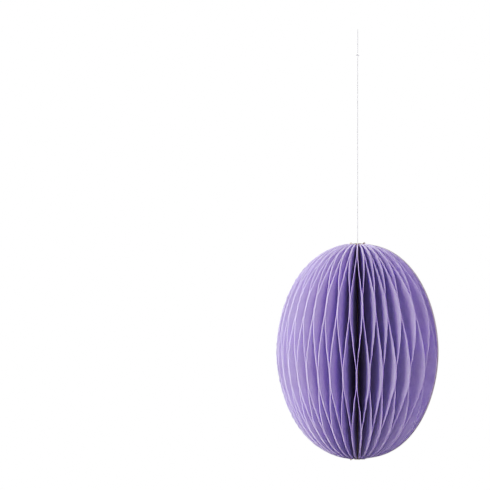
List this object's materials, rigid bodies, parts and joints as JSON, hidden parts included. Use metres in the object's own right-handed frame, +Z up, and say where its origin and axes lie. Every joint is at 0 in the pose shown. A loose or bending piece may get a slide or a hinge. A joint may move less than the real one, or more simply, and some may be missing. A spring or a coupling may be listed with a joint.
{
  "type": "paper honeycomb egg",
  "caption": "Egg-shaped honeycomb ornament of waved paper leaves between two cover boards, hung on a thread with a loop; it spins, swings and folds flat like a fan.",
  "frame": {"origin": "inside of the hanging loop, at its highest point, where it rests on its hook", "axes": "+Z up along the thread; the front of the pictured egg faces -Y; the seam between the cover boards runs 18 degrees in front of +X"},
  "size_m": [0.0909, 0.0924, 0.2413],
  "materials": {
    "leaf_paper": "matte, dyed through",
    "cover_board": "greyboard lined with the leaf paper",
    "kraft_paper": "matte",
    "glue": "dried glue",
    "thread": "twisted thread",
    "magnet": "nickel plate"
  },
  "bodies": {
    "loop": {"hang_loop": "thread"},
    "knot": {"loop_knot": "thread"},
    "thread": {"thread": "thread", "anchor_knot": "thread"},
    "spine": {"spine_lining": "kraft_paper", "glue_plug": "glue", "leaf_25": "leaf_paper"},
    "leaf_01": {"leaf_01": "leaf_paper"},
    "leaf_02": {"leaf_02": "leaf_paper"},
    "leaf_03": {"leaf_03": "leaf_paper"},
    "leaf_04": {"leaf_04": "leaf_paper"},
    "leaf_05": {"leaf_05": "leaf_paper"},
    "leaf_06": {"leaf_06": "leaf_paper"},
    "leaf_07": {"leaf_07": "leaf_paper"},
    "leaf_08": {"leaf_08": "leaf_paper"},
    "leaf_09": {"leaf_09": "leaf_paper"},
    "leaf_10": {"leaf_10": "leaf_paper"},
    "leaf_11": {"leaf_11": "leaf_paper"},
    "leaf_12": {"leaf_12": "leaf_paper"},
    "leaf_13": {"leaf_13": "leaf_paper"},
    "leaf_14": {"leaf_14": "leaf_paper"},
    "leaf_15": {"leaf_15": "leaf_paper"},
    "leaf_16": {"leaf_16": "leaf_paper"},
    "leaf_17": {"leaf_17": "leaf_paper"},
    "leaf_18": {"leaf_18": "leaf_paper"},
    "leaf_19": {"leaf_19": "leaf_paper"},
    "leaf_20": {"leaf_20": "leaf_paper"},
    "leaf_21": {"leaf_21": "leaf_paper"},
    "leaf_22": {"leaf_22": "leaf_paper"},
    "leaf_23": {"leaf_23": "leaf_paper"},
    "leaf_24": {"leaf_24": "leaf_paper"},
    "leaf_26": {"leaf_26": "leaf_paper"},
    "leaf_27": {"leaf_27": "leaf_paper"},
    "leaf_28": {"leaf_28": "leaf_paper"},
    "leaf_29": {"leaf_29": "leaf_paper"},
    "leaf_30": {"leaf_30": "leaf_paper"},
    "leaf_31": {"leaf_31": "leaf_paper"},
    "leaf_32": {"leaf_32": "leaf_paper"},
    "leaf_33": {"leaf_33": "leaf_paper"},
    "leaf_34": {"leaf_34": "leaf_paper"},
    "leaf_35": {"leaf_35": "leaf_paper"},
    "leaf_36": {"leaf_36": "leaf_paper"},
    "leaf_37": {"leaf_37": "leaf_paper"},
    "leaf_38": {"leaf_38": "leaf_paper"},
    "leaf_39": {"leaf_39": "leaf_paper"},
    "leaf_40": {"leaf_40": "leaf_paper"},
    "leaf_41": {"leaf_41": "leaf_paper"},
    "leaf_42": {"leaf_42": "leaf_paper"},
    "leaf_43": {"leaf_43": "leaf_paper"},
    "leaf_44": {"leaf_44": "leaf_paper"},
    "leaf_45": {"leaf_45": "leaf_paper"},
    "leaf_46": {"leaf_46": "leaf_paper"},
    "leaf_47": {"leaf_47": "leaf_paper"},
    "leaf_48": {"leaf_48": "leaf_paper"},
    "leaf_49": {"leaf_49": "leaf_paper"},
    "leaf_50": {"leaf_50": "leaf_paper"},
    "cover_back": {"cover_board_back": "cover_board", "magnets_back": "magnet"},
    "cover_front": {"cover_board_front": "cover_board", "magnets_front": "magnet"}
  },
  "joints": [
    {"name": "swing_sideways", "type": "hinge", "parent": "loop", "child": "knot", "pos_m": [0, 0, -0.014], "axis": [0, 1, 0], "range_deg": [-60, 60]},
    {"name": "swing_forward", "type": "hinge", "parent": "knot", "child": "thread", "pos_m": [0, 0, -0.014], "axis": [1, 0, 0], "range_deg": [-60, 60]},
    {"name": "spin", "type": "hinge", "parent": "thread", "child": "spine", "pos_m": [0, 0, -0.18], "axis": [0, 0, 1], "continuous": true},
    {"name": "fold", "type": "hinge", "parent": "spine", "child": "cover_back", "pos_m": [-0.00074, 0.01031, -0.18], "axis": [0, 0, 1], "range_deg": [0, 224.73], "deforming": ["leaf_01", "leaf_02", "leaf_03", "leaf_04", "leaf_05", "leaf_06", "leaf_07", "leaf_08", "leaf_09", "leaf_10", "leaf_11", "leaf_12", "leaf_13", "leaf_14", "leaf_15", "leaf_16", "leaf_17", "leaf_18", "leaf_19", "leaf_20", "leaf_21", "leaf_22", "leaf_23", "leaf_24", "leaf_25", "leaf_26", "leaf_27", "leaf_28", "leaf_29", "leaf_30", "leaf_31", "leaf_32", "leaf_33", "leaf_34", "leaf_35", "leaf_36", "leaf_37", "leaf_38", "leaf_39", "leaf_40", "leaf_41", "leaf_42", "leaf_43", "leaf_44", "leaf_45", "leaf_46", "leaf_47", "leaf_48", "leaf_49", "leaf_50", "spine_lining"]},
    {"name": "fold_leaf_01", "type": "hinge", "parent": "spine", "child": "leaf_01", "pos_m": [-0.00162, 0.00964, -0.18], "axis": [0, 0, 1], "range_deg": [0, 219.89]},
    {"name": "fold_leaf_02", "type": "hinge", "parent": "spine", "child": "leaf_02", "pos_m": [-0.00223, 0.00879, -0.18], "axis": [0, 0, 1], "range_deg": [0, 209.2]},
    {"name": "fold_leaf_03", "type": "hinge", "parent": "spine", "child": "leaf_03", "pos_m": [-0.00275, 0.00801, -0.18], "axis": [0, 0, 1], "range_deg": [0, 198.51]},
    {"name": "fold_leaf_04", "type": "hinge", "parent": "spine", "child": "leaf_04", "pos_m": [-0.00319, 0.00728, -0.18], "axis": [0, 0, 1], "range_deg": [0, 187.82]},
    {"name": "fold_leaf_05", "type": "hinge", "parent": "spine", "child": "leaf_05", "pos_m": [-0.00357, 0.00659, -0.18], "axis": [0, 0, 1], "range_deg": [0, 177.13]},
    {"name": "fold_leaf_06", "type": "hinge", "parent": "spine", "child": "leaf_06", "pos_m": [-0.00389, 0.00594, -0.18], "axis": [0, 0, 1], "range_deg": [0, 166.45]},
    {"name": "fold_leaf_07", "type": "hinge", "parent": "spine", "child": "leaf_07", "pos_m": [-0.00416, 0.00532, -0.18], "axis": [0, 0, 1], "range_deg": [0, 155.76]},
    {"name": "fold_leaf_08", "type": "hinge", "parent": "spine", "child": "leaf_08", "pos_m": [-0.00439, 0.00473, -0.18], "axis": [0, 0, 1], "range_deg": [0, 145.07]},
    {"name": "fold_leaf_09", "type": "hinge", "parent": "spine", "child": "leaf_09", "pos_m": [-0.00459, 0.00416, -0.18], "axis": [0, 0, 1], "range_deg": [0, 134.38]},
    {"name": "fold_leaf_10", "type": "hinge", "parent": "spine", "child": "leaf_10", "pos_m": [-0.00474, 0.0036, -0.18], "axis": [0, 0, 1], "range_deg": [0, 123.69]},
    {"name": "fold_leaf_11", "type": "hinge", "parent": "spine", "child": "leaf_11", "pos_m": [-0.00487, 0.00306, -0.18], "axis": [0, 0, 1], "range_deg": [0, 113]},
    {"name": "fold_leaf_12", "type": "hinge", "parent": "spine", "child": "leaf_12", "pos_m": [-0.00497, 0.00252, -0.18], "axis": [0, 0, 1], "range_deg": [0, 102.32]},
    {"name": "fold_leaf_13", "type": "hinge", "parent": "spine", "child": "leaf_13", "pos_m": [-0.00504, 0.00199, -0.18], "axis": [0, 0, 1], "range_deg": [0, 91.63]},
    {"name": "fold_leaf_14", "type": "hinge", "parent": "spine", "child": "leaf_14", "pos_m": [-0.00509, 0.00145, -0.18], "axis": [0, 0, 1], "range_deg": [0, 80.94]},
    {"name": "fold_leaf_15", "type": "hinge", "parent": "spine", "child": "leaf_15", "pos_m": [-0.00511, 0.00089, -0.18], "axis": [0, 0, 1], "range_deg": [0, 70.25]},
    {"name": "fold_leaf_16", "type": "hinge", "parent": "spine", "child": "leaf_16", "pos_m": [-0.0051, 0.0003, -0.18], "axis": [0, 0, 1], "range_deg": [0, 59.56]},
    {"name": "fold_leaf_17", "type": "hinge", "parent": "spine", "child": "leaf_17", "pos_m": [-0.00507, -0.0003, -0.18], "axis": [0, 0, 1], "range_deg": [0, 49.39]},
    {"name": "fold_leaf_18", "type": "hinge", "parent": "spine", "child": "leaf_18", "pos_m": [-0.005, -0.00088, -0.18], "axis": [0, 0, 1], "range_deg": [0, 40.25]},
    {"name": "fold_leaf_19", "type": "hinge", "parent": "spine", "child": "leaf_19", "pos_m": [-0.0049, -0.00144, -0.18], "axis": [0, 0, 1], "range_deg": [0, 32.14]},
    {"name": "fold_leaf_20", "type": "hinge", "parent": "spine", "child": "leaf_20", "pos_m": [-0.00478, -0.00195, -0.18], "axis": [0, 0, 1], "range_deg": [0, 25.06]},
    {"name": "fold_leaf_21", "type": "hinge", "parent": "spine", "child": "leaf_21", "pos_m": [-0.00464, -0.00238, -0.18], "axis": [0, 0, 1], "range_deg": [0, 19.02]},
    {"name": "fold_leaf_22", "type": "hinge", "parent": "spine", "child": "leaf_22", "pos_m": [-0.00451, -0.00264, -0.18], "axis": [0, 0, 1], "range_deg": [0, 14]},
    {"name": "fold_leaf_23", "type": "hinge", "parent": "spine", "child": "leaf_23", "pos_m": [-0.00439, -0.00278, -0.18], "axis": [0, 0, 1], "range_deg": [0, 9.5]},
    {"name": "fold_leaf_24", "type": "hinge", "parent": "spine", "child": "leaf_24", "pos_m": [-0.00428, -0.00291, -0.18], "axis": [0, 0, 1], "range_deg": [0, 5]},
    {"name": "fold_leaf_26", "type": "hinge", "parent": "spine", "child": "leaf_26", "pos_m": [-0.00404, -0.00317, -0.18], "axis": [0, 0, 1], "range_deg": [-5, 0]},
    {"name": "fold_leaf_27", "type": "hinge", "parent": "spine", "child": "leaf_27", "pos_m": [-0.00392, -0.0033, -0.18], "axis": [0, 0, 1], "range_deg": [-9.5, 0]},
    {"name": "fold_leaf_28", "type": "hinge", "parent": "spine", "child": "leaf_28", "pos_m": [-0.0038, -0.00342, -0.18], "axis": [0, 0, 1], "range_deg": [-14, 0]},
    {"name": "fold_leaf_29", "type": "hinge", "parent": "spine", "child": "leaf_29", "pos_m": [-0.00368, -0.00354, -0.18], "axis": [0, 0, 1], "range_deg": [-18.5, 0]},
    {"name": "fold_leaf_30", "type": "hinge", "parent": "spine", "child": "leaf_30", "pos_m": [-0.00356, -0.00366, -0.18], "axis": [0, 0, 1], "range_deg": [-23, 0]},
    {"name": "fold_leaf_31", "type": "hinge", "parent": "spine", "child": "leaf_31", "pos_m": [-0.00343, -0.00377, -0.18], "axis": [0, 0, 1], "range_deg": [-27.5, 0]},
    {"name": "fold_leaf_32", "type": "hinge", "parent": "spine", "child": "leaf_32", "pos_m": [-0.00331, -0.00389, -0.18], "axis": [0, 0, 1], "range_deg": [-32, 0]},
    {"name": "fold_leaf_33", "type": "hinge", "parent": "spine", "child": "leaf_33", "pos_m": [-0.00318, -0.004, -0.18], "axis": [0, 0, 1], "range_deg": [-36.5, 0]},
    {"name": "fold_leaf_34", "type": "hinge", "parent": "spine", "child": "leaf_34", "pos_m": [-0.00305, -0.00411, -0.18], "axis": [0, 0, 1], "range_deg": [-41, 0]},
    {"name": "fold_leaf_35", "type": "hinge", "parent": "spine", "child": "leaf_35", "pos_m": [-0.00293, -0.00422, -0.18], "axis": [0, 0, 1], "range_deg": [-45.5, 0]},
    {"name": "fold_leaf_36", "type": "hinge", "parent": "spine", "child": "leaf_36", "pos_m": [-0.0028, -0.00433, -0.18], "axis": [0, 0, 1], "range_deg": [-50, 0]},
    {"name": "fold_leaf_37", "type": "hinge", "parent": "spine", "child": "leaf_37", "pos_m": [-0.00266, -0.00444, -0.18], "axis": [0, 0, 1], "range_deg": [-54.5, 0]},
    {"name": "fold_leaf_38", "type": "hinge", "parent": "spine", "child": "leaf_38", "pos_m": [-0.00253, -0.00455, -0.18], "axis": [0, 0, 1], "range_deg": [-59, 0]},
    {"name": "fold_leaf_39", "type": "hinge", "parent": "spine", "child": "leaf_39", "pos_m": [-0.00239, -0.00465, -0.18], "axis": [0, 0, 1], "range_deg": [-63.5, 0]},
    {"name": "fold_leaf_40", "type": "hinge", "parent": "spine", "child": "leaf_40", "pos_m": [-0.00225, -0.00476, -0.18], "axis": [0, 0, 1], "range_deg": [-68, 0]},
    {"name": "fold_leaf_41", "type": "hinge", "parent": "spine", "child": "leaf_41", "pos_m": [-0.00211, -0.00486, -0.18], "axis": [0, 0, 1], "range_deg": [-72.5, 0]},
    {"name": "fold_leaf_42", "type": "hinge", "parent": "spine", "child": "leaf_42", "pos_m": [-0.00197, -0.00497, -0.18], "axis": [0, 0, 1], "range_deg": [-77, 0]},
    {"name": "fold_leaf_43", "type": "hinge", "parent": "spine", "child": "leaf_43", "pos_m": [-0.00182, -0.00507, -0.18], "axis": [0, 0, 1], "range_deg": [-81.5, 0]},
    {"name": "fold_leaf_44", "type": "hinge", "parent": "spine", "child": "leaf_44", "pos_m": [-0.00166, -0.00519, -0.18], "axis": [0, 0, 1], "range_deg": [-86.24, 0]},
    {"name": "fold_leaf_45", "type": "hinge", "parent": "spine", "child": "leaf_45", "pos_m": [-0.00146, -0.00532, -0.18], "axis": [0, 0, 1], "range_deg": [-91.64, 0]},
    {"name": "fold_leaf_46", "type": "hinge", "parent": "spine", "child": "leaf_46", "pos_m": [-0.0012, -0.00546, -0.18], "axis": [0, 0, 1], "range_deg": [-97.85, 0]},
    {"name": "fold_leaf_47", "type": "hinge", "parent": "spine", "child": "leaf_47", "pos_m": [-0.00089, -0.00563, -0.18], "axis": [0, 0, 1], "range_deg": [-104.87, 0]},
    {"name": "fold_leaf_48", "type": "hinge", "parent": "spine", "child": "leaf_48", "pos_m": [-0.00051, -0.0058, -0.18], "axis": [0, 0, 1], "range_deg": [-112.71, 0]},
    {"name": "fold_leaf_49", "type": "hinge", "parent": "spine", "child": "leaf_49", "pos_m": [-0.00007, -0.00598, -0.18], "axis": [0, 0, 1], "range_deg": [-121.36, 0]},
    {"name": "fold_leaf_50", "type": "hinge", "parent": "spine", "child": "leaf_50", "pos_m": [0.00043, -0.00616, -0.18], "axis": [0, 0, 1], "range_deg": [-130.83, 0]},
    {"name": "fold_cover_front", "type": "hinge", "parent": "spine", "child": "cover_front", "pos_m": [0.00052, -0.00629, -0.18], "axis": [0, 0, 1], "range_deg": [-135.77, 0]}
  ],
  "couplings": [
    {"joint": "fold_leaf_01", "follows": "fold", "ratio": 0.97622},
    {"joint": "fold_leaf_02", "follows": "fold", "ratio": 0.92866},
    {"joint": "fold_leaf_03", "follows": "fold", "ratio": 0.8811},
    {"joint": "fold_leaf_04", "follows": "fold", "ratio": 0.83354},
    {"joint": "fold_leaf_05", "follows": "fold", "ratio": 0.78598},
    {"joint": "fold_leaf_06", "follows": "fold", "ratio": 0.73842},
    {"joint": "fold_leaf_07", "follows": "fold", "ratio": 0.69086},
    {"joint": "fold_leaf_08", "follows": "fold", "ratio": 0.6433},
    {"joint": "fold_leaf_09", "follows": "fold", "ratio": 0.59574},
    {"joint": "fold_leaf_10", "follows": "fold", "ratio": 0.54818},
    {"joint": "fold_leaf_11", "follows": "fold", "ratio": 0.50062},
    {"joint": "fold_leaf_12", "follows": "fold", "ratio": 0.45306},
    {"joint": "fold_leaf_13", "follows": "fold", "ratio": 0.4055},
    {"joint": "fold_leaf_14", "follows": "fold", "ratio": 0.35794},
    {"joint": "fold_leaf_15", "follows": "fold", "ratio": 0.31038},
    {"joint": "fold_leaf_16", "follows": "fold", "ratio": 0.26282},
    {"joint": "fold_leaf_17", "follows": "fold", "ratio": 0.21756},
    {"joint": "fold_leaf_18", "follows": "fold", "ratio": 0.17688},
    {"joint": "fold_leaf_19", "follows": "fold", "ratio": 0.1408},
    {"joint": "fold_leaf_20", "follows": "fold", "ratio": 0.1093},
    {"joint": "fold_leaf_21", "follows": "fold", "ratio": 0.08239},
    {"joint": "fold_leaf_22", "follows": "fold", "ratio": 0.060072},
    {"joint": "fold_leaf_23", "follows": "fold", "ratio": 0.040048},
    {"joint": "fold_leaf_24", "follows": "fold", "ratio": 0.020024},
    {"joint": "fold_leaf_26", "follows": "fold", "ratio": -0.020024},
    {"joint": "fold_leaf_27", "follows": "fold", "ratio": -0.040048},
    {"joint": "fold_leaf_28", "follows": "fold", "ratio": -0.060072},
    {"joint": "fold_leaf_29", "follows": "fold", "ratio": -0.080096},
    {"joint": "fold_leaf_30", "follows": "fold", "ratio": -0.10012},
    {"joint": "fold_leaf_31", "follows": "fold", "ratio": -0.12014},
    {"joint": "fold_leaf_32", "follows": "fold", "ratio": -0.14017},
    {"joint": "fold_leaf_33", "follows": "fold", "ratio": -0.16019},
    {"joint": "fold_leaf_34", "follows": "fold", "ratio": -0.18022},
    {"joint": "fold_leaf_35", "follows": "fold", "ratio": -0.20024},
    {"joint": "fold_leaf_36", "follows": "fold", "ratio": -0.22026},
    {"joint": "fold_leaf_37", "follows": "fold", "ratio": -0.24029},
    {"joint": "fold_leaf_38", "follows": "fold", "ratio": -0.26031},
    {"joint": "fold_leaf_39", "follows": "fold", "ratio": -0.28033},
    {"joint": "fold_leaf_40", "follows": "fold", "ratio": -0.30036},
    {"joint": "fold_leaf_41", "follows": "fold", "ratio": -0.32038},
    {"joint": "fold_leaf_42", "follows": "fold", "ratio": -0.34041},
    {"joint": "fold_leaf_43", "follows": "fold", "ratio": -0.36043},
    {"joint": "fold_leaf_44", "follows": "fold", "ratio": -0.38154},
    {"joint": "fold_leaf_45", "follows": "fold", "ratio": -0.40555},
    {"joint": "fold_leaf_46", "follows": "fold", "ratio": -0.43318},
    {"joint": "fold_leaf_47", "follows": "fold", "ratio": -0.46444},
    {"joint": "fold_leaf_48", "follows": "fold", "ratio": -0.49932},
    {"joint": "fold_leaf_49", "follows": "fold", "ratio": -0.53782},
    {"joint": "fold_leaf_50", "follows": "fold", "ratio": -0.57994},
    {"joint": "fold_cover_front", "follows": "fold", "ratio": -0.60191}
  ]
}
